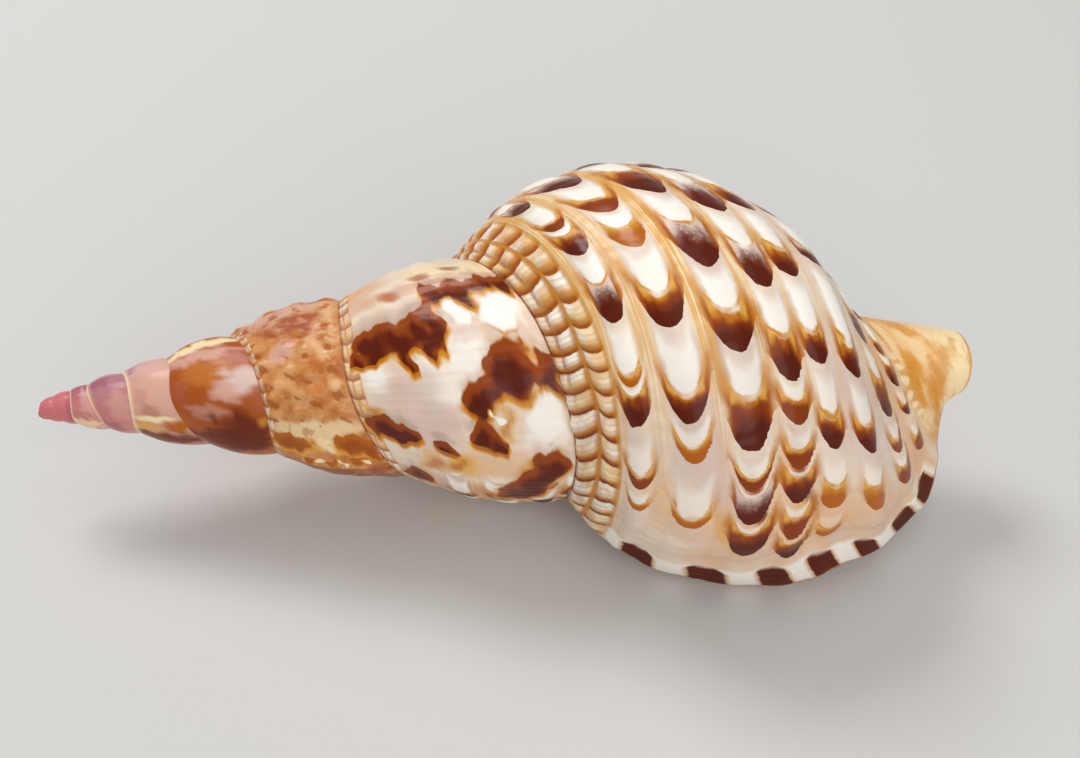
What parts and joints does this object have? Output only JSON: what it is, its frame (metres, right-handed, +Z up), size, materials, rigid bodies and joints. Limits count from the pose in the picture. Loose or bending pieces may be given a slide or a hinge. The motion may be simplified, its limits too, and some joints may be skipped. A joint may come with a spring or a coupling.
{
  "type": "triton shell",
  "caption": "Large spiral sea shell with a long pointed spire, swollen body whorl, open flared mouth underneath and a short canal.",
  "frame": {"origin": "centre of the bounding box on the surface that the shell lies on", "axes": "+X from the apex of the spire to the end of the canal, +Z up, mouth down, outer lip on the -Y side"},
  "size_m": [0.2506, 0.1088, 0.0981],
  "materials": {
    "shell": "glossy natural shell, cream with brown crescents and orange cords"
  },
  "bodies": {
    "root": {"shell": "shell"}
  },
  "joints": []
}
